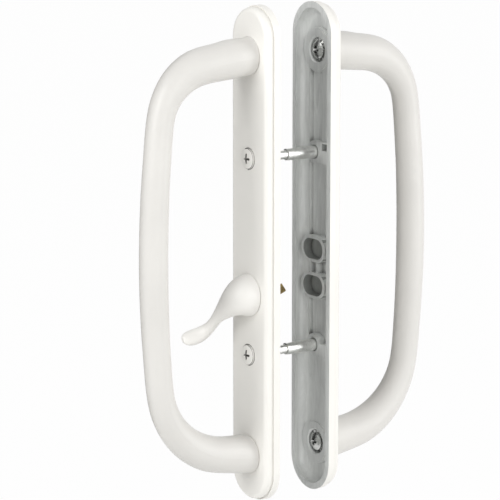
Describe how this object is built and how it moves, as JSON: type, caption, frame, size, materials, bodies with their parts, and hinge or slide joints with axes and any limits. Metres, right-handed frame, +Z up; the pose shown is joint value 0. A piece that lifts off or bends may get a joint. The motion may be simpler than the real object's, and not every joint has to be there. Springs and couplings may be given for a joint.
{
  "type": "sliding door handle set",
  "caption": "Two long round-ended plates with D-shaped pull handles for either face of a sliding door, linked by screws and posts, with a thumb turn lever inside.",
  "frame": {"origin": "middle of the inside plate's mounting plane, half way between its two pull feet", "axes": "+X across the plates, +Y through the door from the room to the outside, +Z up along the plates"},
  "size_m": [0.042, 0.1737, 0.2524],
  "materials": {
    "white_paint": "smooth satin white enamel on a die casting; the back of each plate is bare grey zinc",
    "screw_paint": "white enamel on a steel screw",
    "zinc_plate": "bright zinc plate",
    "post_steel": "turned steel, zinc plated",
    "spring_steel": "oiled dark spring steel",
    "brass": "rolled brass strip, slightly dulled"
  },
  "bodies": {
    "handle_set": {"interior_plate": "white_paint", "interior_pull": "white_paint", "interior_pull_screw_upper": "zinc_plate", "interior_pull_screw_lower": "zinc_plate", "interior_star_washer_upper": "zinc_plate", "interior_star_washer_lower": "zinc_plate", "mounting_screw_upper": "screw_paint", "mounting_screw_lower": "screw_paint", "mounting_post_upper": "post_steel", "mounting_post_lower": "post_steel", "exterior_plate": "white_paint", "exterior_pull": "white_paint", "exterior_pull_screw_upper": "zinc_plate", "exterior_pull_screw_lower": "zinc_plate", "exterior_star_washer_upper": "zinc_plate", "exterior_star_washer_lower": "zinc_plate"},
    "thumbturn": {"thumbturn_lever": "white_paint", "thumbturn_tailpiece": "brass", "thumbturn_pin": "spring_steel", "thumbturn_spring_washer": "spring_steel", "thumbturn_retaining_ring": "spring_steel"}
  },
  "joints": [
    {"name": "thumbturn_turn", "type": "hinge", "parent": "handle_set", "child": "thumbturn", "pos_m": [0, -0.008, -0.01905], "axis": [0, 1, 0], "range_deg": [0, 90]}
  ]
}
